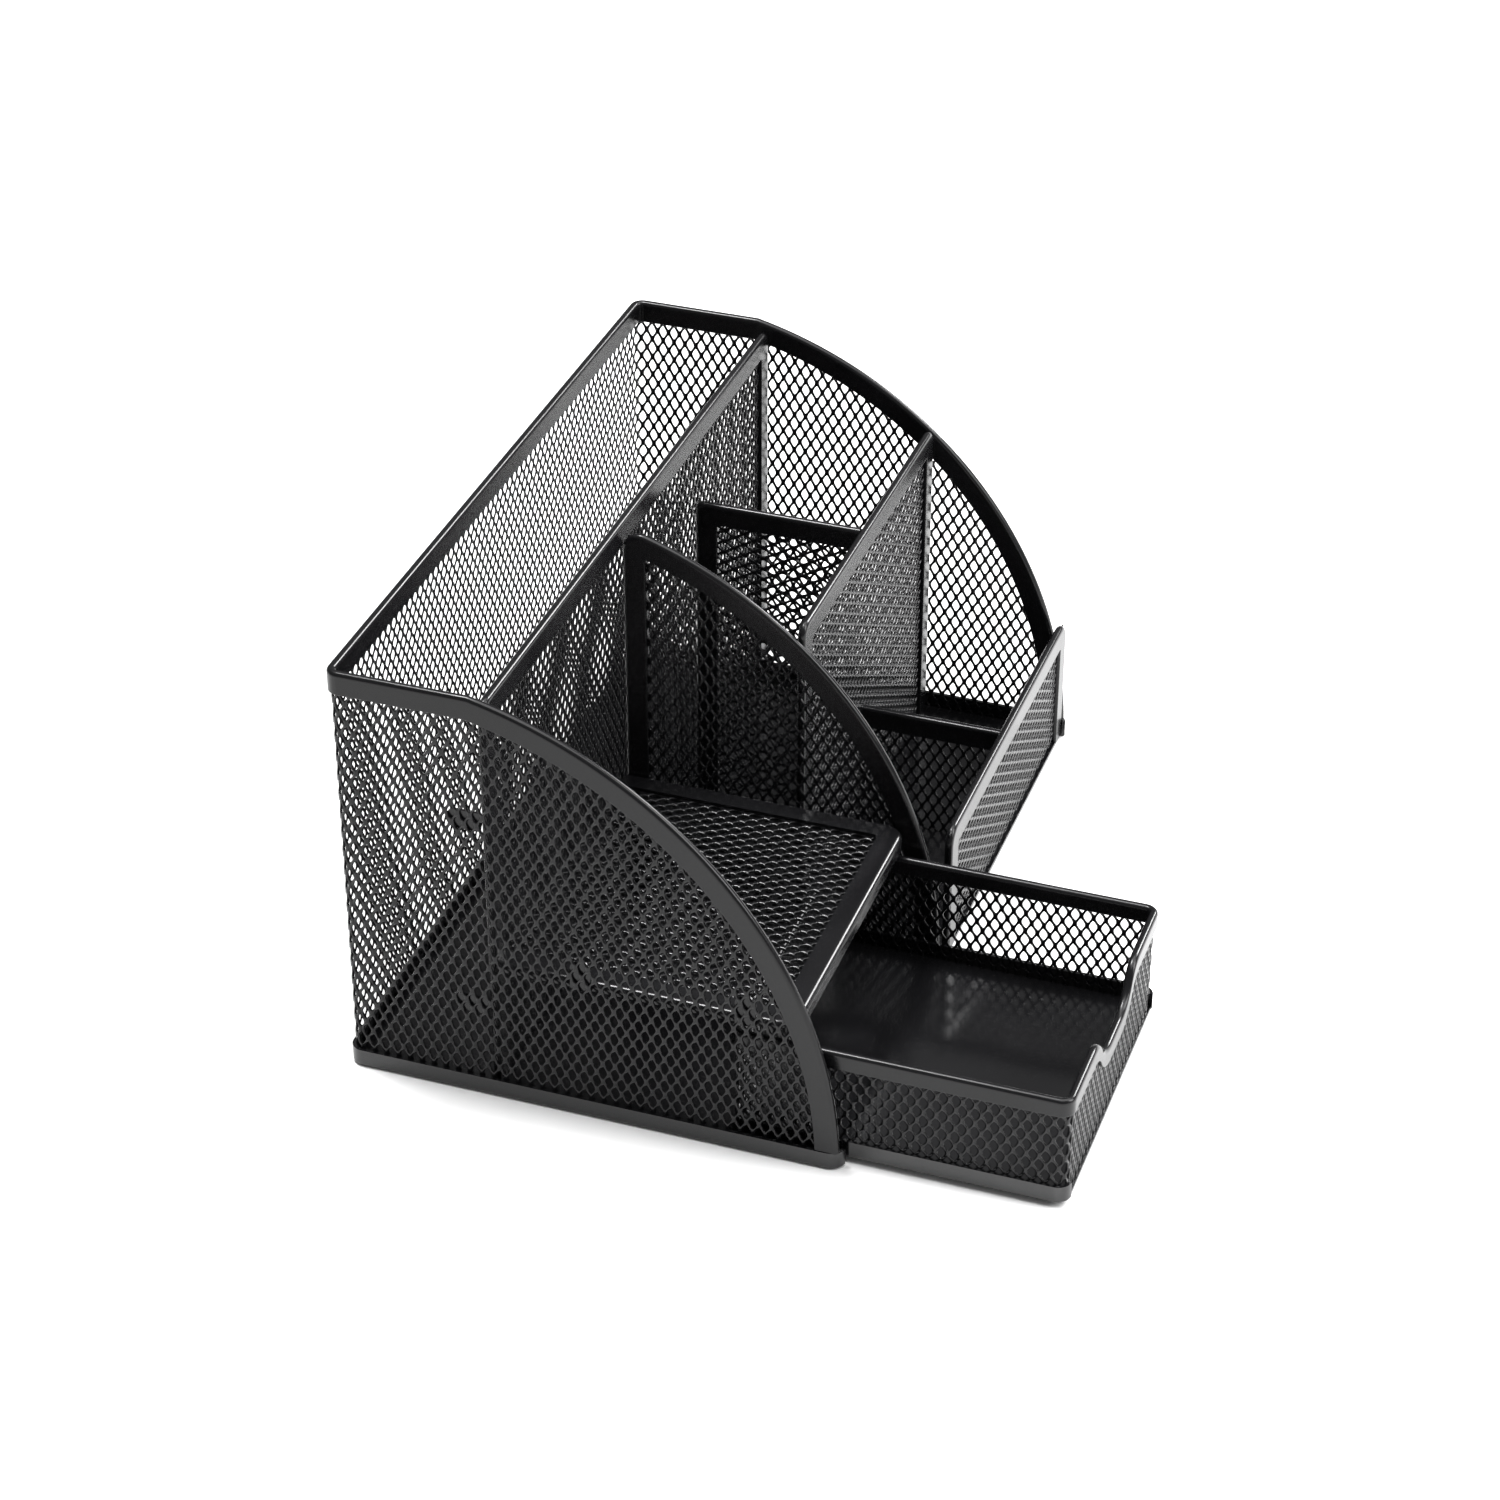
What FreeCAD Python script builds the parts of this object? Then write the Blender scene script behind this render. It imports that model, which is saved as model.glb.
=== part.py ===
# Mesh desk organizer with a sliding drawer.
# Frame: +X to the right seen from the front, +Y to the back, +Z up, millimetres.
# Origin: middle of the base footprint, on the surface it stands on.
import FreeCAD, Part
import math
import os
import re

SIZES = {
    # overall body, measured over the mesh sheets
    "width": 220.0,
    "depth": 137.0,
    "height": 124.0,
    # curved front of the side panels: arc centre and radius in the YZ plane
    "arc_y": 57.5,
    "arc_z": 1.0,
    "arc_radius": 126.0,
    # sheet and folded edge strip
    "gauge": 0.8,
    "leaf": 0.8,
    "rim_band": 6.5,
    "rim_round": 1.0,
    "wrap_radius": 3.0,
    # base tray
    "tray_gauge": 1.0,
    "flange_height": 5.3,
    "tray_bend": 0.9,
    "corner_hook": 3.4,
    "front_hem": 0.6,
    # rear divider
    "rear_y": 27.4,
    "rear_top": 121.5,
    "corner_round": 6.0,
    # quarter panel beside the drawer bay
    "middle_x": -12.0,
    "middle_radius": 123.5,
    # shelf over the drawer
    "shelf_top": 42.0,
    "shelf_front_y": -56.0,
    "shelf_radius": 6.0,
    "lip_drop": 4.6,
    "lip_gauge": 1.6,
    # pen cups
    "cup_x": 45.0,
    "cup_top": 98.0,
    "cross_y": -24.0,
    "cross_top": 98.0,
    # front trays
    "front_divider_top": 39.7,
    "front_wall_y": -67.0,
    "front_wall_top": 40.8,
    # weld tabs on the left panel
    "tab_width": 5.6,
    "tab_length": 9.4,
    "rear_tab_low": 28.0,
    "rear_tab_high": 86.0,
    "shelf_tab_rear": 2.5,
    "shelf_tab_front": -42.5,
    # drawer
    "drawer_left": -106.3,
    "drawer_width": 91.0,
    "drawer_depth": 92.0,
    "drawer_lift": 0.3,
    "drawer_height": 33.0,
    "drawer_band": 5.2,
    "drawer_open": 60.0,
    "drawer_closed_front": -68.5,
    "notch_depth": 10.0,
    "notch_floor": 10.0,
    "notch_shoulder": 8.0,
    "notch_root": 12.0,
    "notch_turn": 60.0,
}

doc = FreeCAD.newDocument("desk_organizer")
sheet = doc.addObject("Spreadsheet::Sheet", "sizes")
for row, (alias, value) in enumerate(SIZES.items(), 1):
    sheet.set("A%d" % row, alias)
    sheet.set("B%d" % row, str(value))
    sheet.setAlias("B%d" % row, alias)
doc.recompute()

WORD = re.compile(r"[a-z][a-z_]*")


def linked(text):
    """Turn size names in a formula into references to the spreadsheet."""
    return WORD.sub(lambda m: "sizes." + m.group(0) if m.group(0) in SIZES else m.group(0), text)


def size(alias):
    return float(sheet.get(alias))


def block(name, spans):
    """Box between three pairs of formulas: x, y and z."""
    item = doc.addObject("Part::Box", name)
    for side, base, (low, high) in zip(("Length", "Width", "Height"), "xyz", spans):
        item.setExpression(side, linked("(%s) - (%s)" % (high, low)))
        item.setExpression("Placement.Base." + base, linked(low))
    return item


def disc(name, span, radius, centre_y="arc_y", centre_z="arc_z"):
    """Cylinder along X between two formulas."""
    item = doc.addObject("Part::Cylinder", name)
    item.Placement = FreeCAD.Placement(
        FreeCAD.Vector(), FreeCAD.Rotation(FreeCAD.Vector(0, 1, 0), 90))
    item.setExpression("Radius", linked(radius))
    item.setExpression("Height", linked("(%s) - (%s)" % (span[1], span[0])))
    item.setExpression("Placement.Base.x", linked(span[0]))
    item.setExpression("Placement.Base.y", linked(centre_y))
    item.setExpression("Placement.Base.z", linked(centre_z))
    return item


def cut(name, base, *tools):
    item = base
    for number, tool in enumerate(tools, 1):
        result = doc.addObject("Part::Cut", name if number == len(tools) else "%s_cut%d" % (name, number))
        result.Base = item
        result.Tool = tool
        item = result
    return item


def common(name, first, second):
    item = doc.addObject("Part::Common", name)
    item.Base = first
    item.Tool = second
    return item


def fuse(name, *parts):
    item = doc.addObject("Part::MultiFuse", name)
    item.Shapes = list(parts)
    item.Refine = True
    return item


def soften(name, base, radius, chosen):
    """Round the edges of base that chosen() picks, with one radius in mm."""
    doc.recompute()
    picked = [(i, radius, radius) for i, edge in enumerate(base.Shape.Edges, 1) if chosen(edge)]
    if not picked:
        raise RuntimeError("no edge to round on " + name)
    item = doc.addObject("Part::Fillet", name)
    item.Base = base
    item.Edges = picked
    return item


def middle(edge):
    low, high = edge.ParameterRange
    return edge.valueAt((low + high) / 2)


def near(a, b):
    return abs(a - b) < 0.01


def upright(edge):
    """True for a straight vertical edge."""
    if len(edge.Vertexes) != 2:
        return False
    a, b = edge.Vertexes[0].Point, edge.Vertexes[1].Point
    return near(a.x, b.x) and near(a.y, b.y) and abs(a.z - b.z) > 0.5


def quarter(name, span, rear, bottom, top, radius):
    """Side profile: flat top at the rear, large arc down to the front."""
    slab = block(name + "_slab", (span, ("arc_y - arc_radius - 5", rear), (bottom, top)))
    return common(name, slab, disc(name + "_disc", span, radius))


def rounded_box(name, spans, radius, corners=None):
    """Box with rounded vertical edges; corners() may limit which ones."""
    box = block(name + "_box", spans)
    return soften(name, box, radius, lambda e: upright(e) and (corners is None or corners(middle(e))))


# ---------------------------------------------------------------- base tray
tray_outer = rounded_box(
    "tray_outer",
    (("-width/2 - tray_gauge", "width/2 + tray_gauge"),
     ("-depth/2 - tray_gauge", "depth/2 + tray_gauge"),
     ("0", "flange_height")),
    size("wrap_radius") + size("tray_gauge"))
tray_shell = soften("tray_shell", tray_outer, size("tray_bend"), lambda e: near(middle(e).z, 0))
tray_inner = rounded_box(
    "tray_inner",
    (("-width/2", "width/2"), ("-depth/2", "depth/2"), ("tray_gauge", "flange_height + 1")),
    size("wrap_radius"))
TRAY_ENDS = ("-width/2 - tray_gauge + corner_hook", "width/2 + tray_gauge - corner_hook")
front_opening = block("front_opening", (TRAY_ENDS, ("-depth/2 - tray_gauge - 1", "-depth/2 + wrap_radius"),
                                        ("tray_gauge", "flange_height + 1")))
front_trim = block("front_trim", (TRAY_ENDS, ("-depth", "front_wall_y - gauge/2 - front_hem"),
                                  ("-1", "height")))
base_tray = cut("base_tray", tray_shell, tray_inner, front_opening, front_trim)

# ------------------------------------------------- outer side and back sheets
REAR_SEAM = "depth/2 - wrap_radius"
LEFT_SHEET = ("-width/2", "-width/2 + gauge")
RIGHT_SHEET = ("width/2 - gauge", "width/2")
LEFT_RIM = ("-width/2 - leaf", "-width/2 + gauge + leaf")
RIGHT_RIM = ("width/2 - gauge - leaf", "width/2 + leaf")


def on_outline(point, radius, top, rear):
    """True on the flat top or on the arc of a quarter profile."""
    off = math.hypot(point.y - size("arc_y"), point.z - size("arc_z"))
    return near(off, radius) or (near(point.z, top) and point.y < rear)


def side_rim(name, span, sheet_part):
    outer = quarter(name + "_outer", span, REAR_SEAM, "flange_height", "height", "arc_radius")
    inside = ("(%s) - 1" % span[0], "(%s) + 1" % span[1])
    inner = quarter(name + "_inner", inside, "depth/2", "0", "height - rim_band", "arc_radius - rim_band")
    band = cut(name + "_band", outer, inner)
    doc.recompute()
    ends = (band.Shape.BoundBox.XMin, band.Shape.BoundBox.XMax)
    edge = soften(
        name + "_edge", band, size("rim_round"),
        lambda e: (near(middle(e).x, ends[0]) or near(middle(e).x, ends[1]))
        and on_outline(middle(e), size("arc_radius"), size("height"), size("depth") / 2 - 4))
    return cut(name, edge, sheet_part)


left_panel = quarter("left_panel", LEFT_SHEET, REAR_SEAM, "tray_gauge", "height - leaf", "arc_radius - leaf")
right_panel = quarter("right_panel", RIGHT_SHEET, REAR_SEAM, "tray_gauge", "height - leaf", "arc_radius - leaf")
left_side_mesh = cut("left_side_mesh", left_panel, base_tray)
right_side_mesh = cut("right_side_mesh", right_panel, base_tray)
left_side_rim = side_rim("left_side_rim", LEFT_RIM, left_side_mesh)
right_side_rim = side_rim("right_side_rim", RIGHT_RIM, right_side_mesh)


def rear_corners(point):
    return point.y > 0


def back_wrap(name, out, bottom, top, thick):
    """Back sheet or strip with both corner bends, open to the front."""
    skin = rounded_box(
        name + "_skin",
        (("-width/2 - (%s)" % out, "width/2 + (%s)" % out), ("0", "depth/2 + (%s)" % out), (bottom, top)),
        size("wrap_radius") + (size("leaf") if out == "leaf" else 0), rear_corners)
    room = rounded_box(
        name + "_room",
        (("-width/2 - (%s) + %s" % (out, thick), "width/2 + (%s) - (%s)" % (out, thick)),
         ("-1", "depth/2 + (%s) - (%s)" % (out, thick)), ("(%s) - 1" % bottom, "(%s) + 1" % top)),
        size("wrap_radius") - size("gauge") - (size("leaf") if out == "leaf" else 0), rear_corners)
    front = block(name + "_front", (("-width", "width"), ("-2", REAR_SEAM), ("-5", "height + 5")))
    return skin, room, front


skin, room, front = back_wrap("back_mesh", "0", "tray_gauge", "height - leaf", "gauge")
back_mesh = cut("back_mesh", skin, room, front)
skin, room, front = back_wrap("back_rim", "leaf", "height - rim_band", "height", "gauge + 2*leaf")
back_edge = soften("back_rim_edge", cut("back_rim_loop", skin, room), size("rim_round"),
                   lambda e: near(middle(e).z, size("height")) and middle(e).y > 1)
back_rim = cut("back_rim", back_edge, front, back_mesh)


# ----------------------------------------------------- straight divider walls
def top_corner(e, top):
    """True for the short edge along Y at a top corner."""
    a, b = e.Vertexes[0].Point, e.Vertexes[-1].Point
    return near(abs(b.y - a.y), (b - a).Length) and near(a.z, top) and near(b.z, top)


def framed_wall(name, ends, place, top):
    """Sheet across the frame, with one folded strip over its top and down both ends."""
    middle_y = "(%s)" % place
    sheet_box = block(name + "_sheet", (
        ("(%s) + leaf" % ends[0], "(%s) - leaf" % ends[1]),
        (middle_y + " - gauge/2", middle_y + " + gauge/2"), ("tray_gauge", top + " - leaf")))
    mesh = soften(name + "_mesh", sheet_box, size("corner_round") - size("leaf"),
                  lambda e: top_corner(e, size(top) - size("leaf")))
    strip_box = block(name + "_strip", (
        ends, (middle_y + " - gauge/2 - leaf", middle_y + " + gauge/2 + leaf"), ("tray_gauge", top)))
    window = block(name + "_window", (
        ("(%s) + rim_band" % ends[0], "(%s) - rim_band" % ends[1]),
        (middle_y + " - 5", middle_y + " + 5"), ("0", top + " - rim_band")))
    shape = cut(name + "_frame", soften(
        name + "_shape", strip_box, size("corner_round"), lambda e: top_corner(e, size(top))), window)
    doc.recompute()
    bound = shape.Shape.BoundBox

    def outer(e):
        p = middle(e)
        on_face = near(p.y, bound.YMin) or near(p.y, bound.YMax)
        on_end = near(p.x, bound.XMin) or near(p.x, bound.XMax)
        on_arc = e.Curve.TypeId == "Part::GeomCircle"
        return on_face and (near(p.z, bound.ZMax) or on_end or on_arc)

    edge = soften(name + "_edge", shape, size("rim_round"), outer)
    return mesh, cut(name + "_rim", edge, mesh)


INNER = "width/2 - gauge - leaf"
REAR_FACE = "rear_y - gauge/2 - leaf"

# rear divider: full width, in front of the letter slot
rear_divider_mesh, rear_divider_rim = framed_wall(
    "rear_divider", ("-(%s)" % INNER, INNER), "rear_y", "rear_top")

# quarter panel between the drawer bay and the cups
MIDDLE_SHEET = ("middle_x - gauge/2", "middle_x + gauge/2")
MIDDLE_RIM = ("middle_x - gauge/2 - leaf", "middle_x + gauge/2 + leaf")
middle_panel_mesh = quarter("middle_panel_mesh", MIDDLE_SHEET, REAR_FACE + " - leaf",
                            "tray_gauge", "height", "middle_radius - leaf")
middle_outer = quarter("middle_outer", MIDDLE_RIM, REAR_FACE, "tray_gauge", "height", "middle_radius")
middle_inner = quarter(
    "middle_inner", ("(%s) - 1" % MIDDLE_RIM[0], "(%s) + 1" % MIDDLE_RIM[1]),
    REAR_FACE + " - rim_band", "0", "height", "middle_radius - rim_band")
middle_band = cut("middle_band", middle_outer, middle_inner)
doc.recompute()
middle_ends = (middle_band.Shape.BoundBox.XMin, middle_band.Shape.BoundBox.XMax)
middle_edge = soften(
    "middle_edge", middle_band, size("rim_round"),
    lambda e: (near(middle(e).x, middle_ends[0]) or near(middle(e).x, middle_ends[1]))
    and on_outline(middle(e), size("middle_radius"), -1, 0))
middle_panel_rim = cut("middle_panel_rim", middle_edge, middle_panel_mesh)

# shelf over the drawer bay
SHELF_X = ("-(%s)" % INNER, MIDDLE_RIM[0])
SHELF_THICK = "gauge + 2*leaf"


def front_corners(point):
    return point.y < size("shelf_front_y") + size("rim_band") + 1


def shelf_outline(name, inset, side, low, high, radius):
    return rounded_box(
        name, (("(%s) + %s" % (SHELF_X[0], inset), "(%s) - %s" % (SHELF_X[1], inset)),
               ("shelf_front_y + %s" % inset, side), (low, high)), radius, front_corners)


shelf_mesh = shelf_outline("shelf_mesh", "leaf", REAR_FACE, "shelf_top - leaf - gauge",
                           "shelf_top - leaf", size("shelf_radius") - size("leaf"))
shelf_slab = shelf_outline("shelf_slab", "0", REAR_FACE, "shelf_top - gauge - 2*leaf",
                           "shelf_top", size("shelf_radius"))
shelf_skirt = shelf_outline("shelf_skirt", "0", "shelf_front_y + shelf_radius + 2",
                            "shelf_top - lip_drop", "shelf_top - gauge", size("shelf_radius"))
shelf_body = fuse("shelf_body", shelf_slab, shelf_skirt)
shelf_bend = soften(
    "shelf_bend", shelf_body, size("lip_gauge"),
    lambda e: near(middle(e).z, size("shelf_top"))
    and middle(e).y < size("shelf_front_y") + size("shelf_radius"))
shelf_window = shelf_outline("shelf_window", "rim_band", "rear_y",
                             "shelf_top - 10", "shelf_top + 1", 1.5)
shelf_hollow = shelf_outline("shelf_hollow", "lip_gauge", "rear_y", "shelf_top - 10",
                             "shelf_top - gauge - 2*leaf", size("shelf_radius") - size("lip_gauge"))
shelf_rim = cut("shelf_rim", shelf_bend, shelf_window, shelf_hollow, shelf_mesh)

# divider between the two pen cups
CUP_SHEET = ("cup_x - gauge/2", "cup_x + gauge/2")
CUP_RIM = ("cup_x - gauge/2 - leaf", "cup_x + gauge/2 + leaf")
CROSS_BACK = "cross_y + gauge/2 + leaf"
cup_divider_mesh = block("cup_divider_mesh", (CUP_SHEET, (CROSS_BACK, REAR_FACE + " - leaf"),
                                              ("tray_gauge", "cup_top - leaf")))
cup_frame = block("cup_frame", (CUP_RIM, (CROSS_BACK, REAR_FACE), ("tray_gauge", "cup_top")))
cup_window = block("cup_window", (("cup_x - 5", "cup_x + 5"), ("cross_y - 5", REAR_FACE + " - rim_band"),
                                  ("0", "cup_top - rim_band")))
cup_bent = soften("cup_bent", cut("cup_bent_frame", cup_frame, cup_window), size("rim_round"),
                  lambda e: near(middle(e).z, size("cup_top")) and abs(middle(e).x - size("cup_x")) > 1)
cup_divider_rim = cut("cup_divider_rim", cup_bent, cup_divider_mesh)

# wall across the front of the cups, and the low front wall
CROSS_LEFT = "middle_x + gauge/2 + leaf"
cross_wall_mesh, cross_wall_rim = framed_wall("cross_wall", (CROSS_LEFT, INNER), "cross_y", "cross_top")
front_wall_mesh, front_wall_rim = framed_wall(
    "front_wall", (CROSS_LEFT, INNER), "front_wall_y", "front_wall_top")

# low divider between the two front trays
TRAY_SPAN = ("front_wall_y + gauge/2 + leaf", "cross_y - gauge/2")
front_divider_mesh = block("front_divider_mesh", (CUP_SHEET, TRAY_SPAN,
                                                  ("tray_gauge", "front_divider_top - leaf")))
front_divider_bar = block("front_divider_bar", (CUP_RIM, TRAY_SPAN, (
    "front_divider_top - rim_band", "front_divider_top")))
front_divider_edge = soften(
    "front_divider_edge", front_divider_bar, size("rim_round"),
    lambda e: near(middle(e).z, size("front_divider_top")) and abs(middle(e).x - size("cup_x")) > 1)
front_divider_rim = cut("front_divider_rim", front_divider_edge, front_divider_mesh)

# ----------------------------------------------------------------- weld tabs
TAB_X = ("-width/2 + gauge", "-(%s)" % INNER)


def rear_tab(name, level):
    """Tab from the rear divider, lying back along the left sheet."""
    root = "rear_y + gauge/2 + leaf"
    bar = block(name + "_bar", (TAB_X, (root, root + " + tab_length - tab_width/2"),
                                ("%s - tab_width/2" % level, "%s + tab_width/2" % level)))
    end = disc(name + "_end", TAB_X, "tab_width/2", root + " + tab_length - tab_width/2", level)
    return fuse(name, bar, end)


def shelf_tab(name, place):
    """Tab turned up from the left edge of the shelf."""
    bar = block(name + "_bar", (TAB_X, ("%s - tab_width/2" % place, "%s + tab_width/2" % place),
                                ("shelf_top - gauge - 2*leaf", "shelf_top + 4")))
    end = disc(name + "_end", TAB_X, "tab_width/2", place, "shelf_top + 4")
    return fuse(name, bar, end)


weld_tabs = doc.addObject("Part::Compound", "weld_tabs")
weld_tabs.Links = [
    rear_tab("rear_tab_a", "rear_tab_low"),
    rear_tab("rear_tab_b", "rear_tab_high"),
    shelf_tab("shelf_tab_a", "shelf_tab_rear"),
    shelf_tab("shelf_tab_b", "shelf_tab_front"),
]

# -------------------------------------------------------------------- drawer
DRAWER_FRONT = "drawer_closed_front - drawer_open"
DRAWER_LOW = "tray_gauge + drawer_lift"
DRAWER_TOP = DRAWER_LOW + " + drawer_height"


def drawer_box(name, inset, low, high, radius):
    return rounded_box(
        name, (("drawer_left + %s" % inset, "drawer_left + drawer_width - (%s)" % inset),
               (DRAWER_FRONT + " + %s" % inset, DRAWER_FRONT + " + drawer_depth - (%s)" % inset),
               (low, high)), radius)


drawer_outer = drawer_box("drawer_outer", "0", DRAWER_LOW, DRAWER_LOW + " + flange_height",
                          size("wrap_radius") + size("tray_gauge"))
drawer_shell = soften("drawer_shell", drawer_outer, size("tray_bend"),
                      lambda e: near(middle(e).z, size("tray_gauge") + size("drawer_lift")))
drawer_room = drawer_box("drawer_room", "tray_gauge", DRAWER_LOW + " + tray_gauge",
                         DRAWER_LOW + " + flange_height + 1", size("wrap_radius"))
DRAWER_ENDS = ("drawer_left + corner_hook", "drawer_left + drawer_width - corner_hook")
drawer_opening = block("drawer_opening", (DRAWER_ENDS,
                                          (DRAWER_FRONT + " - 1", DRAWER_FRONT + " + wrap_radius"),
                                          (DRAWER_LOW + " + tray_gauge", DRAWER_LOW + " + flange_height + 1")))
drawer_trim = block("drawer_trim", (DRAWER_ENDS,
                                    (DRAWER_FRONT + " - 1", DRAWER_FRONT + " + tray_gauge - front_hem"),
                                    ("0", "height")))
drawer_tray = cut("drawer_tray", drawer_shell, drawer_room, drawer_opening, drawer_trim)


def notch_tool(name, drop):
    """Finger notch through the front wall, drop mm below the rim edge."""
    turn = math.radians(size("notch_turn"))
    shoulder, root = size("notch_shoulder"), size("notch_root")
    top = size("tray_gauge") + size("drawer_lift") + size("drawer_height") - drop
    scale = size("notch_depth") / ((shoulder + root) * (1 - math.cos(turn)))
    shoulder, root = shoulder * scale, root * scale
    half_floor = size("notch_floor") / 2
    half_slope = half_floor + root * math.sin(turn)
    half_top = half_slope + shoulder * math.sin(turn)
    centre = size("drawer_left") + size("drawer_width") / 2
    face = size("drawer_closed_front") - size("drawer_open") - 2
    floor = top - size("notch_depth")

    def at(x, z):
        return FreeCAD.Vector(centre + x, face, z)

    edges = []
    for side in (-1, 1):
        rim_end, slope = at(side * half_top, top), at(
            side * half_slope, floor + root * (1 - math.cos(turn)))
        crest = at(side * (half_top - shoulder * math.sin(turn / 2)), top - shoulder * (1 - math.cos(turn / 2)))
        low = at(side * half_floor, floor)
        sweep = at(side * (half_floor + root * math.sin(turn / 2)), floor + root * (1 - math.cos(turn / 2)))
        edges += [Part.Arc(rim_end, crest, slope).toShape(), Part.Arc(slope, sweep, low).toShape()]
        edges.append(Part.makeLine(rim_end, at(side * half_top, top + 12)))
    edges.append(Part.makeLine(at(-half_floor, floor), at(half_floor, floor)))
    edges.append(Part.makeLine(at(-half_top, top + 12), at(half_top, top + 12)))
    outline = Part.Wire(Part.__sortEdges__(edges))
    item = doc.addObject("Part::Feature", name)
    item.Shape = Part.Face(outline).extrude(FreeCAD.Vector(0, 8, 0))
    return item


rim_notch = notch_tool("rim_notch", 0.0)
sheet_notch = notch_tool("sheet_notch", size("leaf"))
band_notch = notch_tool("band_notch", size("drawer_band"))

wall_outer = drawer_box("wall_outer", "tray_gauge", DRAWER_LOW + " + tray_gauge", DRAWER_TOP + " - leaf",
                        size("wrap_radius"))
wall_inner = drawer_box("wall_inner", "(tray_gauge + gauge)", DRAWER_LOW, DRAWER_TOP + " + 1",
                        size("wrap_radius") - size("gauge"))
drawer_wall_mesh = cut("drawer_wall_mesh", wall_outer, wall_inner, sheet_notch)

rim_outer = drawer_box("rim_outer", "(tray_gauge - leaf)", DRAWER_LOW + " + flange_height", DRAWER_TOP,
                       size("wrap_radius") + size("leaf"))
rim_inner = drawer_box("rim_inner", "(tray_gauge + gauge + leaf)", DRAWER_LOW, DRAWER_TOP + " + 1",
                       size("wrap_radius") - size("gauge") - size("leaf"))
below_band = block("below_band", (("-width", "width"), ("-2*depth", "depth"),
                                  ("0", DRAWER_TOP + " - drawer_band")))
below_rim = cut("below_rim", below_band, band_notch)
rim_loop = cut("rim_loop", rim_outer, rim_inner, rim_notch)
doc.recompute()
drawer_top = size("tray_gauge") + size("drawer_lift") + size("drawer_height")


def rim_crest(e):
    """Long top edges of the drawer rim and the edges along its notch."""
    p = middle(e)
    across = abs(e.Vertexes[0].Point.y - e.Vertexes[-1].Point.y)
    in_notch = p.z < drawer_top - 0.01 and p.z > drawer_top - size("notch_depth") - 0.01
    return (near(p.z, drawer_top) or in_notch) and not upright(e) and not (
        near(across, 2.4) and near(e.Length, 2.4))


rim_edge = soften("rim_edge", rim_loop, size("rim_round") * 0.9, rim_crest)
drawer_rim = cut("drawer_rim", rim_edge, below_rim, drawer_wall_mesh)

# ------------------------------------------------------------ check and write
PARTS = {
    "base_tray": base_tray,
    "left_side_mesh": left_side_mesh,
    "right_side_mesh": right_side_mesh,
    "back_mesh": back_mesh,
    "left_side_rim": left_side_rim,
    "right_side_rim": right_side_rim,
    "back_rim": back_rim,
    "rear_divider_mesh": rear_divider_mesh,
    "rear_divider_rim": rear_divider_rim,
    "middle_panel_mesh": middle_panel_mesh,
    "middle_panel_rim": middle_panel_rim,
    "shelf_mesh": shelf_mesh,
    "shelf_rim": shelf_rim,
    "cup_divider_mesh": cup_divider_mesh,
    "cup_divider_rim": cup_divider_rim,
    "cross_wall_mesh": cross_wall_mesh,
    "cross_wall_rim": cross_wall_rim,
    "front_divider_mesh": front_divider_mesh,
    "front_divider_rim": front_divider_rim,
    "front_wall_mesh": front_wall_mesh,
    "front_wall_rim": front_wall_rim,
    "weld_tabs": weld_tabs,
    "drawer_tray": drawer_tray,
    "drawer_wall_mesh": drawer_wall_mesh,
    "drawer_rim": drawer_rim,
}
for label, item in PARTS.items():
    item.Label = label
doc.recompute()
for item in doc.Objects:
    if "Invalid" in item.State or "Error" in item.State:
        raise RuntimeError("failed object: " + item.Name)
for label, item in PARTS.items():
    if item.Shape.isNull() or not item.Shape.isValid():
        raise RuntimeError("bad shape: " + label)
    if label != "weld_tabs" and len(item.Shape.Solids) != 1:
        raise RuntimeError("%s has %d solids" % (label, len(item.Shape.Solids)))

os.makedirs("parts", exist_ok=True)
for label, item in PARTS.items():
    item.Shape.exportStep("parts/%s.step" % label)
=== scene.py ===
"""Mesh desk organizer with a sliding drawer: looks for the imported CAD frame."""

import math

import bmesh
import bpy
import numpy as np
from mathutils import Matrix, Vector


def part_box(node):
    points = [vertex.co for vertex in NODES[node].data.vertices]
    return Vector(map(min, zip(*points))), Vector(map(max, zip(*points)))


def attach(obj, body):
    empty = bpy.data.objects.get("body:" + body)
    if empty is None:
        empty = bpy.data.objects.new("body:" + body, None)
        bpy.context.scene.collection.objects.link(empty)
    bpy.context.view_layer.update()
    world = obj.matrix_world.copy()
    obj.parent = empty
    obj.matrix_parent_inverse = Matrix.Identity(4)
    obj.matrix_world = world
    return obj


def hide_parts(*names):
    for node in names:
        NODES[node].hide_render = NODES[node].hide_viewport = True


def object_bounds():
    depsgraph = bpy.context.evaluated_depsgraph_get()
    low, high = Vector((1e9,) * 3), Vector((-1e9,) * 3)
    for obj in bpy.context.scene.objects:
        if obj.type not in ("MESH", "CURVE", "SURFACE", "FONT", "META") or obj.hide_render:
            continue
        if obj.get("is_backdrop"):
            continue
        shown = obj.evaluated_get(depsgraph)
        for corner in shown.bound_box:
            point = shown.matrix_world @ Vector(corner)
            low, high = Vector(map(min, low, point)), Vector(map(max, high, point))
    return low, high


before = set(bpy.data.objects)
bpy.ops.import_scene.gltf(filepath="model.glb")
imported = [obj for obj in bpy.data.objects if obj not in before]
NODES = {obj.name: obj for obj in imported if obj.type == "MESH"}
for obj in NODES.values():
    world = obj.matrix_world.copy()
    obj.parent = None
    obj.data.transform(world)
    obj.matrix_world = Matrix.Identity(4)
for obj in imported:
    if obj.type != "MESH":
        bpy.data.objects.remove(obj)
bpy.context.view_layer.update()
MM = 0.001


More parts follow.
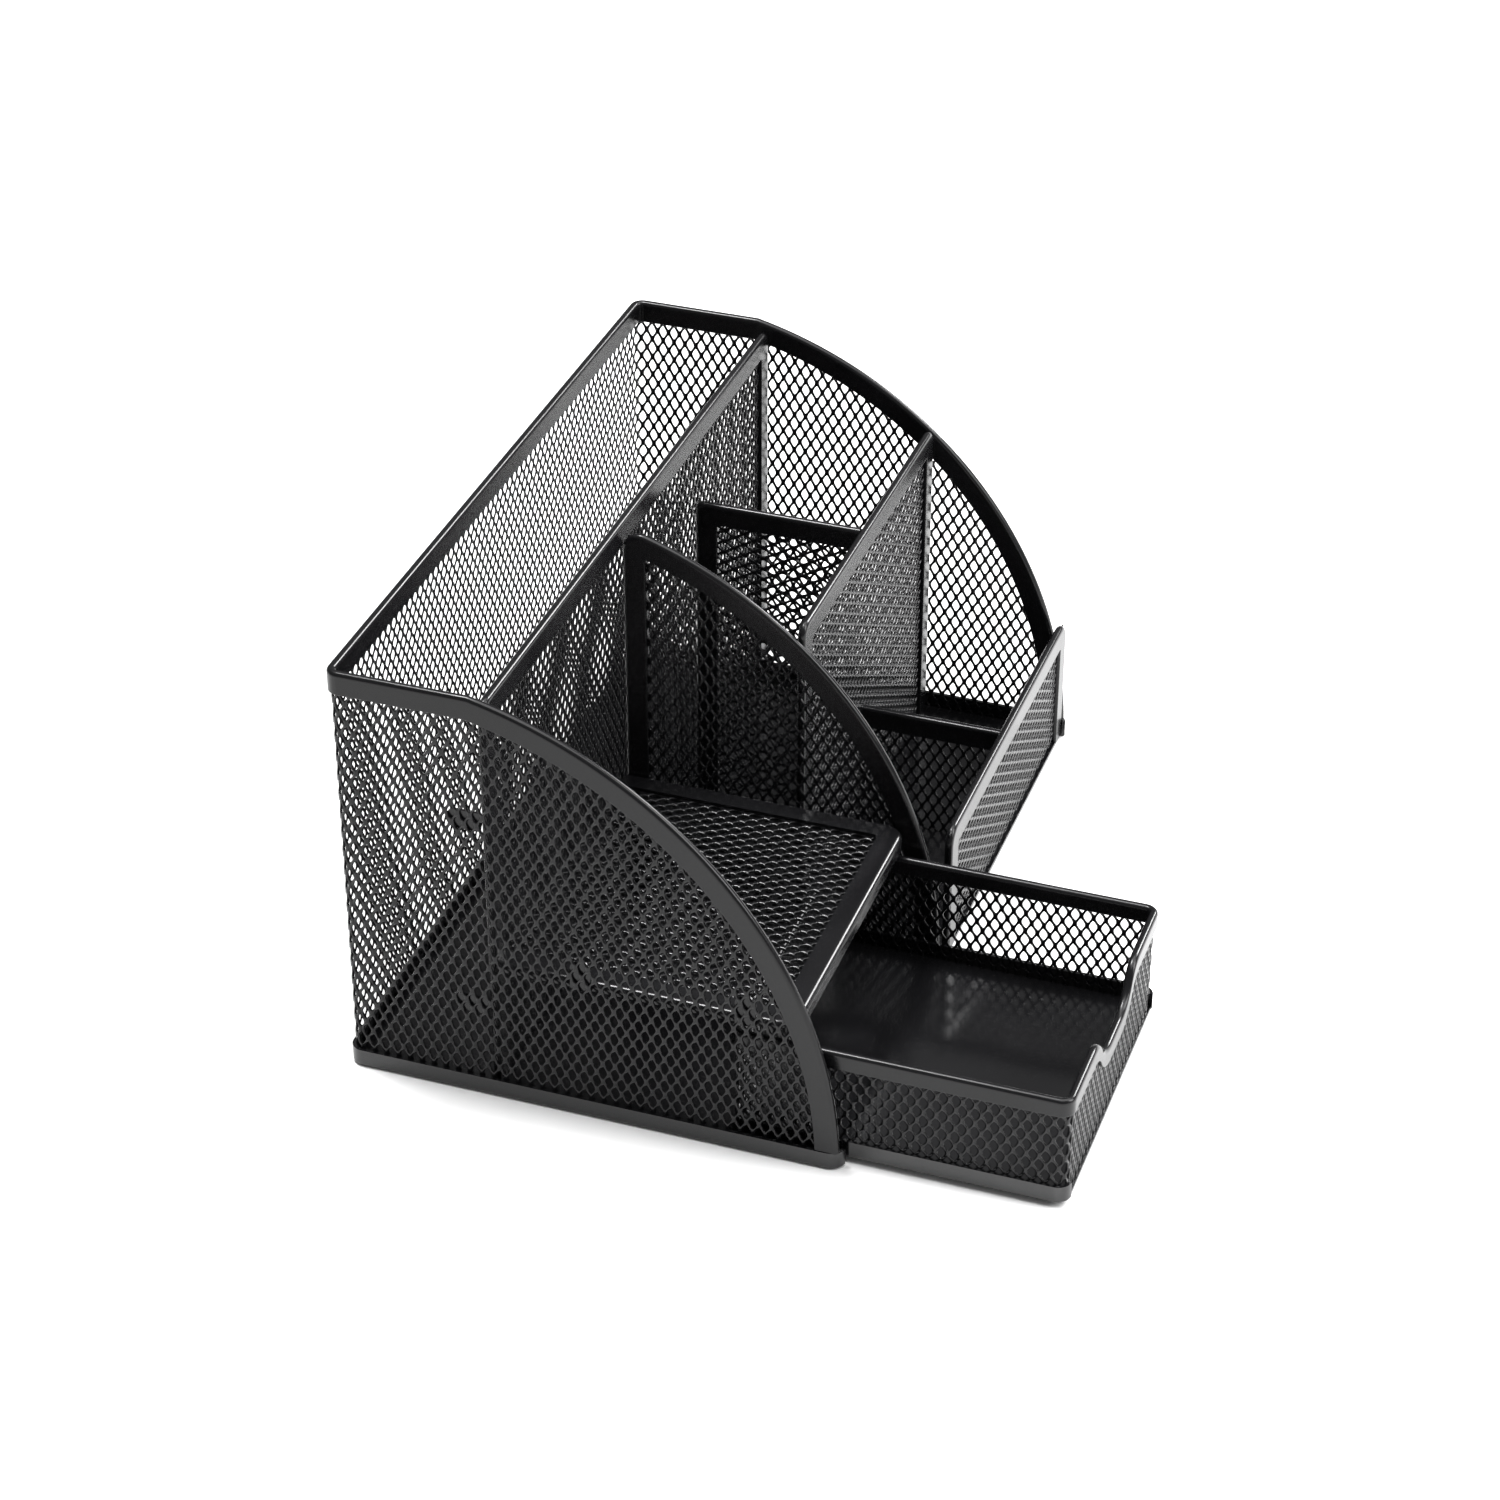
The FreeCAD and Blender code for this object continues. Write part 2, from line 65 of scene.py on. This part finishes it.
# ------------------------------------------------------------------ helpers
def span(node):
    """Lowest and highest corner of a CAD node, in millimetres."""
    low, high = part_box(node)
    return np.array(low) / MM, np.array(high) / MM


def new_mesh(name, points, faces, smooth=False):
    """Object from points in millimetres and lists of corner numbers."""
    mesh = bpy.data.meshes.new(name)
    mesh.from_pydata((np.asarray(points) * MM).tolist(), [], [list(map(int, f)) for f in faces])
    mesh.validate()
    mesh.update()
    if smooth:
        mesh.shade_smooth()
    item = bpy.data.objects.new(name, mesh)
    bpy.context.scene.collection.objects.link(item)
    return item


# ---------------------------------------------------------------- materials
def powder_coat(name, base, rough, rough_spread, grain, grain_depth, specular, peel_strength):
    """Black powder coat: fine orange peel, faint cloudiness in gloss and tone."""
    material = bpy.data.materials.new(name)
    material.use_nodes = True
    tree = material.node_tree
    nodes, links = tree.nodes, tree.links
    shader = nodes["Principled BSDF"]
    shader.inputs["Specular IOR Level"].default_value = specular
    where = nodes.new("ShaderNodeTexCoord")
    peel = nodes.new("ShaderNodeTexNoise")
    peel.inputs["Scale"].default_value = grain
    peel.inputs["Detail"].default_value = 3.0
    links.new(where.outputs["Object"], peel.inputs["Vector"])
    cloud = nodes.new("ShaderNodeTexNoise")
    cloud.inputs["Scale"].default_value = 45.0
    cloud.inputs["Detail"].default_value = 4.0
    links.new(where.outputs["Object"], cloud.inputs["Vector"])
    tone = nodes.new("ShaderNodeValToRGB")
    tone.color_ramp.elements[0].position = 0.3
    tone.color_ramp.elements[1].position = 0.75
    tone.color_ramp.elements[0].color = (*[c * 0.8 for c in base], 1)
    tone.color_ramp.elements[1].color = (*[c * 1.25 for c in base], 1)
    links.new(cloud.outputs["Fac"], tone.inputs["Fac"])
    links.new(tone.outputs["Color"], shader.inputs["Base Color"])
    gloss = nodes.new("ShaderNodeMapRange")
    gloss.inputs["From Min"].default_value = 0.3
    gloss.inputs["From Max"].default_value = 0.7
    gloss.inputs["To Min"].default_value = rough - rough_spread
    gloss.inputs["To Max"].default_value = rough + rough_spread
    links.new(cloud.outputs["Fac"], gloss.inputs["Value"])
    links.new(gloss.outputs["Result"], shader.inputs["Roughness"])
    bump = nodes.new("ShaderNodeBump")
    bump.inputs["Strength"].default_value = peel_strength
    bump.inputs["Distance"].default_value = grain_depth
    links.new(peel.outputs["Fac"], bump.inputs["Height"])
    links.new(bump.outputs["Normal"], shader.inputs["Normal"])
    return material


BLACK = (0.004, 0.004, 0.0045)
mesh_coat = powder_coat("mesh_coat", BLACK, 0.18, 0.04, 900.0, 0.00002, 0.25, 0.15)
rim_coat = powder_coat("rim_coat", BLACK, 0.24, 0.02, 1100.0, 0.00001, 0.28, 0.03)
tray_coat = powder_coat("tray_coat", BLACK, 0.16, 0.03, 700.0, 0.00001, 0.60, 0.08)
COATS = {"mesh_black": mesh_coat, "rim_black": rim_coat, "tray_black": tray_coat}


def paint(item, slot):
    item.data.materials.clear()
    item.data.materials.append(COATS[slot])


# ------------------------------------------------------- expanded steel mesh
SHORT_WAY = 3.45
LONG_WAY = 5.88
SHEET = 0.52
TWIST = math.radians(20.0)
# half of one opening: distance from its middle along the long way, and half width there
HOLE_ALONG = [0.0, 0.30, 0.87, 1.47, 2.07, 2.94]
HOLE_HALF = [1.12, 1.12, 0.86, 0.50, 0.0, 0.0]
HOLE_TIP = 2.07
FLAT_END = 0.30


def expanded(short_range, long_range, keep, half_short=SHORT_WAY / 2, twist=TWIST):
    """Slit and stretched sheet in its own plane.

    Returns points as (short way, long way, height) and quads. Each strand zigzags
    between two columns of bonds and shares their edges with its neighbours.
    """
    half_long = LONG_WAY / 2
    low, high = np.array(short_range) / half_short
    strands = np.arange(math.ceil(low - 0.5), math.floor(high - 0.5) + 1)
    first = math.floor(long_range[0] / half_long) - 1
    last = math.ceil(long_range[1] / half_long) + 1
    offsets = HOLE_ALONG[1:5] + [half_long - FLAT_END]
    stops = np.array([m * half_long + d for m in range(first, last + 1) for d in offsets])
    stops = stops[(stops > long_range[0] + 0.05) & (stops < long_range[1] - 0.05)]
    stops = np.concatenate([[long_range[0]], stops, [long_range[1]]])
    # holes of even columns sit at odd multiples of the half pitch, and the other way about
    to_hole = (stops[None, :] - (strands[:, None] + 1) * half_long) % LONG_WAY
    to_hole = np.minimum(to_hole, LONG_WAY - to_hole)
    left_half = np.interp(to_hole, HOLE_ALONG, HOLE_HALF)
    right_half = np.interp(half_long - to_hole, HOLE_ALONG, HOLE_HALF)
    left = strands[:, None] * half_short + left_half
    right = (strands[:, None] + 1) * half_short - right_half
    turn = np.clip((to_hole - FLAT_END) / (half_long - 2 * FLAT_END), 0, 1)
    side = np.cos(math.pi * turn)
    rise = (half_short - HOLE_HALF[0]) * math.tan(twist)
    left_up = -rise * (1 + side) / 2
    right_up = rise * (1 - side) / 2
    shape = side.shape
    corner = np.zeros(shape + (4, 3))
    for c, (edge, up, through) in enumerate([(left, left_up, 1), (right, right_up, 1),
                                             (right, right_up, -1), (left, left_up, -1)]):
        corner[..., c, 0] = edge - through * SHEET / 2 * math.sin(twist)
        corner[..., c, 1] = stops[None, :]
        corner[..., c, 2] = up + through * SHEET / 2 * math.cos(twist)
    number = np.arange(shape[0] * shape[1] * 4).reshape(shape + (4,))
    shared = to_hole >= HOLE_TIP - 1e-6
    shared[0] = False
    number[1:, :, 0] = np.where(shared[1:], number[:-1, :, 1], number[1:, :, 0])
    number[1:, :, 3] = np.where(shared[1:], number[:-1, :, 2], number[1:, :, 3])
    centre = (left + right) / 2
    mid_long = (stops[1:] + stops[:-1]) / 2
    mid_short = (centre[:, 1:] + centre[:, :-1]) / 2
    kept = keep(mid_short, np.broadcast_to(mid_long, mid_short.shape))
    quads = []

    def add(mask, a, b, upper_a, upper_b):
        k, j = np.nonzero(mask)
        quads.append(np.stack([number[k, j, a], number[k, j, b],
                               number[k, j + 1, upper_b], number[k, j + 1, upper_a]], 1))

    joined = np.zeros_like(kept)
    joined[1:] = shared[1:, 1:] & shared[1:, :-1] & kept[:-1] & kept[1:]
    left_free = kept & ~joined
    right_free = kept.copy()
    right_free[:-1] &= ~joined[1:]
    add(kept, 0, 1, 0, 1)
    add(right_free, 1, 2, 1, 2)
    add(kept, 2, 3, 2, 3)
    add(left_free, 3, 0, 3, 0)
    blank = np.zeros((shape[0], 1), bool)
    starts = kept & ~np.concatenate([blank, kept[:, :-1]], 1)
    ends = kept & ~np.concatenate([kept[:, 1:], blank], 1)
    k, j = np.nonzero(starts)
    quads.append(number[k, j][:, [0, 3, 2, 1]])
    k, j = np.nonzero(ends)
    quads.append(number[k, j + 1][:, [0, 1, 2, 3]])
    quads = np.concatenate(quads)
    used, quads = np.unique(quads, return_inverse=True)
    return corner.reshape(-1, 3)[used], quads.reshape(-1, 4)


def place_sheet(name, node, body, pattern, place):
    """Put a pattern in the object with place(short, long, height) and let it stand for node."""
    points, quads = pattern
    x, y, z = place(points[:, 0], points[:, 1], points[:, 2])
    item = new_mesh(name, np.stack([x, y, z], 1), quads, smooth=True)
    paint(item, "mesh_black")
    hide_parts(node)
    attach(item, body)


def everywhere(short, long):
    return np.ones(np.shape(short), bool)


class Path:
    """Line in the floor plane made of straight runs and round corners."""

    def __init__(self, corners, radius, closed=False):
        self.parts = []
        corners = [np.array(c, float) for c in corners]
        count = len(corners)
        turns = []
        for i, p in enumerate(corners):
            if not closed and i in (0, count - 1):
                turns.append((p, p, None))
                continue
            before = corners[i - 1] - p
            after = corners[(i + 1) % count] - p
            turns.append((p + before / np.linalg.norm(before) * radius,
                          p + after / np.linalg.norm(after) * radius, p))
        total = 0.0
        for i in range(count if closed else count - 1):
            a, b = turns[i][1], turns[(i + 1) % count][0]
            length = np.linalg.norm(b - a)
            self.parts.append((total, length, "run", a, (b - a) / length, None))
            total += length
            nxt = turns[(i + 1) % count]
            if nxt[2] is not None:
                way = (b - a) / length
                out = (nxt[1] - nxt[2]) / radius
                sweep = radius * math.pi / 2
                self.parts.append((total, sweep, "bend", nxt[0], way, out))
                total += sweep
        self.length = total
        self.radius = radius

    def __call__(self, along):
        """Points, and the normal that is to the right of the way along it."""
        along = np.asarray(along, float)
        x, y = np.zeros_like(along), np.zeros_like(along)
        nx, ny = np.zeros_like(along), np.zeros_like(along)
        for i, (start, length, kind, p, way, out) in enumerate(self.parts):
            low = -np.inf if i == 0 else start
            high = np.inf if i == len(self.parts) - 1 else start + length
            here = (along >= low) & (along < high)
            t = along[here] - start
            if kind == "run":
                x[here], y[here] = p[0] + way[0] * t, p[1] + way[1] * t
                tx, ty = way[0] + 0 * t, way[1] + 0 * t
            else:
                a = t / self.radius
                x[here] = p[0] + self.radius * (way[0] * np.sin(a) + out[0] * (1 - np.cos(a)))
                y[here] = p[1] + self.radius * (way[1] * np.sin(a) + out[1] * (1 - np.cos(a)))
                tx = way[0] * np.cos(a) + out[0] * np.sin(a)
                ty = way[1] * np.cos(a) + out[1] * np.sin(a)
            nx[here], ny[here] = ty, -tx
        return x, y, nx, ny


def upright(path):
    def place(along, up, height):
        x, y, nx, ny = path(along)
        return x + nx * height, y + ny * height, up
    return place


# outer wrap: left side, back and right side share one pattern
GAUGE = 0.8
ARC_Y, ARC_Z, ARC_RADIUS = 57.5, 1.0, 126.0
SEAM_Y = 65.5
left_low, left_high = span("left_side_mesh")
right_low, right_high = span("right_side_mesh")
back_low, back_high = span("back_mesh")
middle_left = left_low[0] + GAUGE / 2
middle_right = right_high[0] - GAUGE / 2
middle_back = back_high[1] - GAUGE / 2
BEND_RADIUS = 2.6
wrap = Path([(middle_left, 0), (middle_left, middle_back), (middle_right, middle_back), (middle_right, 0)],
            BEND_RADIUS)
wrap_floor, wrap_top = back_low[2] + 0.05, back_high[2]


def side_keep(place_y):
    def keep(along, up):
        y = place_y(along)
        off = np.hypot(y - ARC_Y, up - ARC_Z)
        return (off < ARC_RADIUS - 2.0) | (y > ARC_Y)
    return keep


OUTER_TWIST = -TWIST
front_y = left_low[1]
place_sheet(
    "left_side_expanded_mesh", "left_side_mesh", "frame",
    expanded((front_y, SEAM_Y), (wrap_floor, wrap_top), side_keep(lambda s: s), twist=OUTER_TWIST),
    upright(wrap))
place_sheet(
    "back_expanded_mesh", "back_mesh", "frame",
    expanded((SEAM_Y, wrap.length - SEAM_Y), (wrap_floor, wrap_top), everywhere, twist=OUTER_TWIST),
    upright(wrap))
place_sheet(
    "right_side_expanded_mesh", "right_side_mesh", "frame",
    expanded((wrap.length - SEAM_Y, wrap.length - front_y), (wrap_floor, wrap_top),
             side_keep(lambda s: wrap.length - s), twist=OUTER_TWIST),
    upright(wrap))


def across(node, name, twist=0.0):
    """Divider whose long way stands upright and short way runs along X."""
    low, high = span(node)
    y = (low[1] + high[1]) / 2
    place_sheet(
        name, node, "frame",
        expanded((low[0], high[0]), (low[2] + 0.05, high[2]), everywhere, twist=twist),
        lambda s, t, n: (s, y - n, t))


def across_flat(node, name, twist=math.radians(8.0)):
    """Wall whose long way runs along X."""
    low, high = span(node)
    y = (low[1] + high[1]) / 2
    place_sheet(
        name, node, "frame",
        expanded((low[2] + 0.2, high[2]), (low[0], high[0]), everywhere, twist=twist),
        lambda s, t, n: (t, y + n, s))


def along(node, name, keep=everywhere, twist=TWIST):
    """Panel in a plane of constant X, long way upright."""
    low, high = span(node)
    x = (low[0] + high[0]) / 2
    place_sheet(
        name, node, "frame",
        expanded((low[1], high[1]), (low[2] + 0.05, high[2]), keep, twist=twist),
        lambda s, t, n: (x + n, s, t))


def along_flat(node, name, twist=TWIST):
    """Panel in a plane of constant X, long way along Y."""
    low, high = span(node)
    x = (low[0] + high[0]) / 2
    place_sheet(
        name, node, "frame",
        expanded((low[2] + 0.2, high[2]), (low[1], high[1]), everywhere, twist=twist),
        lambda s, t, n: (x - n, t, s))


across("rear_divider_mesh", "rear_divider_expanded_mesh")
across_flat("cross_wall_mesh", "cross_wall_expanded_mesh")
across_flat("front_wall_mesh", "front_wall_expanded_mesh")
MIDDLE_RADIUS = 123.5
along("middle_panel_mesh", "middle_panel_expanded_mesh",
      lambda s, t: np.hypot(s - ARC_Y, t - ARC_Z) < MIDDLE_RADIUS - 2.0)
along_flat("cup_divider_mesh", "cup_divider_expanded_mesh")
along("front_divider_mesh", "front_divider_expanded_mesh")

shelf_low, shelf_high = span("shelf_mesh")
shelf_z = (shelf_low[2] + shelf_high[2]) / 2
place_sheet("shelf_expanded_mesh", "shelf_mesh", "frame",
            expanded((shelf_low[0] + 1, shelf_high[0] - 1), (shelf_low[1] + 1, shelf_high[1]), everywhere,
                     twist=math.radians(22.0)),
            lambda s, t, n: (s, t, shelf_z + n))

# drawer walls: one band round the four sides
wall_low, wall_high = span("drawer_wall_mesh")
inset = GAUGE / 2
ring = Path([(wall_low[0] + inset, wall_low[1] + inset), (wall_high[0] - inset, wall_low[1] + inset),
             (wall_high[0] - inset, wall_high[1] - inset), (wall_low[0] + inset, wall_high[1] - inset)],
            BEND_RADIUS, closed=True)
steps = 2 * round(ring.length / SHORT_WAY)
NOTCH_DEPTH, NOTCH_FLOOR, NOTCH_SHOULDER, NOTCH_ROOT = 10.0, 5.0, 8.0, 12.0
NOTCH_SLOPE = NOTCH_FLOOR + NOTCH_ROOT * math.sin(math.radians(60))
NOTCH_HALF = NOTCH_SLOPE + NOTCH_SHOULDER * math.sin(math.radians(60))
notch_x = (wall_low[0] + wall_high[0]) / 2


def notch_drop(off):
    """Height of the notched edge above the plain edge, at a distance from the middle."""
    off = np.abs(off)
    up = np.clip(off - NOTCH_FLOOR, 0, NOTCH_ROOT - 0.1)
    root = NOTCH_ROOT - NOTCH_DEPTH - np.sqrt(NOTCH_ROOT ** 2 - up ** 2)
    over = np.clip(NOTCH_HALF - off, 0, NOTCH_SHOULDER - 0.1)
    shoulder = np.sqrt(NOTCH_SHOULDER ** 2 - over ** 2) - NOTCH_SHOULDER
    return np.where(off < NOTCH_SLOPE, root, shoulder)


def below_notch(s, t):
    x, y, nx, ny = ring(s)
    in_front = y < wall_low[1] + 5
    return ~(in_front & (t > wall_high[2] + notch_drop(x - notch_x) - 1.2))


ring_place = upright(ring)
place_sheet("drawer_wall_expanded_mesh", "drawer_wall_mesh", "drawer",
            expanded((0.0, ring.length), (wall_low[2] + 0.05, wall_high[2]), below_notch,
                     half_short=ring.length / steps),
            ring_place)

# ------------------------------------------------------------- folded rims
BAND = 6.5
DRAWER_BAND = 5.2
HALF_STRIP = GAUGE / 2 + 0.8
CREST = 1.15
FILLET_STEPS = 6


def crest_profile(low, high, band=BAND):
    """Cross-section of a folded strip as (across, depth below the crest)."""
    turns = [math.pi / 2 * i / FILLET_STEPS for i in range(FILLET_STEPS + 1)]
    left = [(low + CREST * (1 - math.cos(t)), CREST * (1 - math.sin(t))) for t in turns]
    right = [(high - (a - low), d) for a, d in reversed(left)]
    foot = 0.15
    up = [(low + foot, band), (low, band - foot), (low, band - 2 * foot), (low, CREST + foot)]
    down = [(high, CREST + foot), (high, band - 2 * foot), (high, band - foot), (high - foot, band)]
    return up + left + right + down


def skin(name, node, rows, closed=False, body="frame"):
    """Closed skin over rows of points, each row one loop of the cross-section."""
    rows = np.asarray(rows, float)
    count, loop = rows.shape[:2]
    faces = []
    for i in range(count if closed else count - 1):
        j = (i + 1) % count
        for a in range(loop):
            b = (a + 1) % loop
            faces.append((i * loop + a, i * loop + b, j * loop + b, j * loop + a))
    if not closed:
        faces.append(list(range(loop))[::-1])
        faces.append([(count - 1) * loop + a for a in range(loop)])
    item = new_mesh(name, rows.reshape(-1, 3), faces, smooth=True)
    mesh = item.data
    work = bmesh.new()
    work.from_mesh(mesh)
    bmesh.ops.recalc_face_normals(work, faces=work.faces[:])
    for edge in work.edges:
        if len(edge.link_faces) == 2 and edge.calc_face_angle(0.0) > math.radians(50):
            edge.smooth = False
    work.to_mesh(mesh)
    work.free()
    paint(item, "rim_black")
    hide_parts(node)
    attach(item, body)


def folded_rim(name, node, outer, inner, across, place):
    """Strip between an outer and an inner line of the same number of points."""
    outer, inner = np.asarray(outer, float), np.asarray(inner, float)
    rows = []
    for o, i in zip(outer, inner):
        rows.append([place(a, *(o + (i - o) * d / BAND)) for a, d in crest_profile(*across)])
    skin(name, node, rows)


def drawer_rim():
    """Folded strip round the drawer, dipping through the finger notch at the front."""
    low, high = span("drawer_rim")
    profile = crest_profile(-HALF_STRIP, HALF_STRIP, DRAWER_BAND)
    stops = [np.linspace(p[0], p[0] + p[1], 9 if p[2] == "bend" else 5)[:-1] for p in ring.parts]
    middle = ring.parts[0][1] / 2
    stops.append(middle + np.linspace(-NOTCH_HALF, NOTCH_HALF, 61))
    stops = np.unique(np.concatenate(stops).round(6))
    rows = []
    for s in stops:
        x, y, nx, ny = (float(v[0]) for v in ring([s]))
        top = high[2] + (float(notch_drop(x - notch_x)) if abs(s - middle) < NOTCH_HALF else 0.0)
        rows.append([(x + nx * a, y + ny * a, top - d) for a, d in profile])
    skin("drawer_folded_rim", "drawer_rim", rows, closed=True, body="drawer")


def turn(centre, radius, start, stop, steps):
    angles = np.radians(np.linspace(start, stop, steps + 1))
    return [(centre[0] + radius * math.cos(t), centre[1] + radius * math.sin(t)) for t in angles]


def line(a, b, steps):
    return [(a[0] + (b[0] - a[0]) * t, a[1] + (b[1] - a[1]) * t) for t in np.linspace(0, 1, steps + 1)]


def arc_line(radius, low, high, steps):
    """Points on the big front curve between two heights, from the foot up."""
    first, last = math.asin((low - ARC_Z) / radius), math.asin((high - ARC_Z) / radius)
    turns = np.linspace(first, last, steps + 1)
    return [(ARC_Y - radius * math.cos(t), ARC_Z + radius * math.sin(t)) for t in turns]


def upright_place(x, y, z):
    return (x, y, z)


for side in ("left", "right"):
    node = side + "_side_rim"
    low, high = span(node)
    foot, top = low[2], high[2]
    outer = arc_line(ARC_RADIUS, foot, top, 48)
    inner = arc_line(ARC_RADIUS - BAND, foot, top - BAND, 48)
    outer += line(outer[-1], (SEAM_Y, top), 8)[1:]
    inner += line(inner[-1], (SEAM_Y, top - BAND), 8)[1:]
    folded_rim(side + "_curved_rim", node, outer, inner, (low[0], high[0]), upright_place)

low, high = span("back_rim")
profile = crest_profile(-HALF_STRIP, HALF_STRIP)
rows = []
stations = np.concatenate([np.linspace(part[0], part[0] + part[1], 9 if part[2] == "bend" else 5)
                           for part in wrap.parts])
stations = np.unique(np.clip(stations, SEAM_Y, wrap.length - SEAM_Y).round(6))
for s in stations:
    x, y, nx, ny = (float(v[0]) for v in wrap([s]))
    rows.append([(x + nx * a, y + ny * a, high[2] - d) for a, d in profile])
skin("back_top_rim", "back_rim", rows)


def arch(name, node, corner):
    """Rim of a cross wall: legs down both ends and a strip over the top."""
    low, high = span(node)
    (x0, y0, z0), (x1, y1, z1) = low, high
    inside = 0.6
    outer = line((x0, z0), (x0, z1 - corner), 2)
    outer += turn((x0 + corner, z1 - corner), corner, 180, 90, 8)
    outer += line((x0 + corner, z1), (x1 - corner, z1), 4)[1:-1]
    outer += turn((x1 - corner, z1 - corner), corner, 90, 0, 8)
    outer += line((x1, z1 - corner), (x1, z0), 2)[1:]
    a0, a1, top = x0 + BAND, x1 - BAND, z1 - BAND
    inner = line((a0, z0), (a0, top - inside), 2)
    inner += turn((a0 + inside, top - inside), inside, 180, 90, 8)
    inner += line((a0 + inside, top), (a1 - inside, top), 4)[1:-1]
    inner += turn((a1 - inside, top - inside), inside, 90, 0, 8)
    inner += line((a1, top - inside), (a1, z0), 2)[1:]
    folded_rim(name, node, outer, inner, (y0, y1), lambda a, p, q: (p, a, q))


arch("rear_divider_folded_rim", "rear_divider_rim", 3.5)
arch("cross_wall_folded_rim", "cross_wall_rim", 4.0)
arch("front_wall_folded_rim", "front_wall_rim", 5.2)

low, high = span("cup_divider_rim")
bend, inside = 2.5, 0.5
outer = line((low[1], high[2]), (high[1] - bend, high[2]), 4)[:-1]
outer += turn((high[1] - bend, high[2] - bend), bend, 90, 0, 8)
outer += line((high[1], high[2] - bend), (high[1], low[2]), 4)[1:]
rear, top = high[1] - BAND, high[2] - BAND
inner = line((low[1], top), (rear - inside, top), 4)[:-1]
inner += turn((rear - inside, top - inside), inside, 90, 0, 8)
inner += line((rear, top - inside), (rear, low[2]), 4)[1:]
folded_rim("cup_divider_folded_rim", "cup_divider_rim", outer, inner, (low[0], high[0]), upright_place)

low, high = span("middle_panel_rim")
bend, inside = 5.0, 0.5


def height_on(radius, y):
    return ARC_Z + math.sqrt(radius ** 2 - (ARC_Y - y) ** 2)


def curved_corner(radius, rear, bend):
    """Front curve, a small bend and the straight rear leg."""
    reach = radius - bend
    centre = (rear - bend, height_on(reach, rear - bend))
    lean = math.degrees(math.atan2(centre[1] - ARC_Z, centre[0] - ARC_Y))
    contact = (ARC_Y + radius * math.cos(math.radians(lean)), ARC_Z + radius * math.sin(math.radians(lean)))
    return (arc_line(radius, low[2], contact[1], 48)[:-1] + turn(centre, bend, lean, 0, 8)
            + line((rear, centre[1]), (rear, low[2]), 4)[1:])


folded_rim("middle_panel_folded_rim", "middle_panel_rim",
           curved_corner(MIDDLE_RADIUS, high[1], bend),
           curved_corner(MIDDLE_RADIUS - BAND, high[1] - BAND, inside),
           (low[0], high[0]), upright_place)

drawer_rim()

# ------------------------------------------------------ carried-over solids
for name, item in NODES.items():
    if name.endswith("_mesh"):
        continue
    paint(item, "tray_black" if name.endswith("_tray") else "rim_black")

# ------------------------------------------------------------ floor and light
floor_coat = bpy.data.materials.new("floor_coat")
floor_coat.use_nodes = True
floor_shader = floor_coat.node_tree.nodes["Principled BSDF"]
floor_shader.inputs["Base Color"].default_value = (0.9, 0.9, 0.9, 1)
floor_shader.inputs["Roughness"].default_value = 0.7
floor_shader.inputs["Specular IOR Level"].default_value = 0.2
HALF_FLOOR = 5000.0
floor = new_mesh("studio_floor", [(-HALF_FLOOR, -HALF_FLOOR, -0.2), (HALF_FLOOR, -HALF_FLOOR, -0.2),
                                  (HALF_FLOOR, HALF_FLOOR, -0.2), (-HALF_FLOOR, HALF_FLOOR, -0.2)],
                 [(0, 1, 2, 3)])
floor.data.materials.append(floor_coat)
floor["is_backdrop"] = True

world = bpy.data.worlds.new("studio")
bpy.context.scene.world = world
world.use_nodes = True
world.node_tree.nodes["Background"].inputs["Color"].default_value = (1, 1, 1, 1)
world.node_tree.nodes["Background"].inputs["Strength"].default_value = 0.28


def softbox(name, place, aim, width, height, power):
    lamp = bpy.data.lights.new(name, "AREA")
    lamp.shape = "RECTANGLE"
    lamp.size, lamp.size_y = width, height
    lamp.energy = power
    item = bpy.data.objects.new(name, lamp)
    item.location = place
    item.rotation_euler = (Vector(aim) - Vector(place)).to_track_quat("-Z", "Y").to_euler()
    bpy.context.scene.collection.objects.link(item)


softbox("overhead", (0.0, 0.34, 1.3), (0, 0, 0), 0.24, 0.24, 17)
softbox("front_tall", (0.05, -1.2, 0.9), (0, 0, 0.05), 0.6, 1.0, 20)
softbox("right_front", (1.15, -0.72, 0.85), (0, 0, 0.05), 0.4, 0.4, 22)
softbox("ceiling", (0.15, -0.2, 1.8), (0.05, -0.1, 0), 1.6, 1.6, 34)

# -------------------------------------------------------------------- camera
AZIMUTH, ELEVATION, DISTANCE = -70.75, 33.21, 1.04179
LENS = 90.016
TARGET = Vector((-0.00367, -0.00702, 0.05126))
azimuth, elevation = math.radians(AZIMUTH), math.radians(ELEVATION)
back = Vector((math.sin(azimuth) * math.cos(elevation), -math.cos(azimuth) * math.cos(elevation),
               math.sin(elevation)))
camera_data = bpy.data.cameras.new("camera")
camera_data.lens = LENS
camera_data.sensor_width = 36.0
camera_data.shift_y = -0.0014
camera = bpy.data.objects.new("camera", camera_data)
camera.rotation_mode = "QUATERNION"
camera.location = TARGET + back * DISTANCE
camera.rotation_quaternion = (-back).to_track_quat("-Z", "Y")
bpy.context.scene.collection.objects.link(camera)
bpy.context.scene.camera = camera
bpy.context.scene.view_settings.view_transform = "Standard"

low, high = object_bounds()
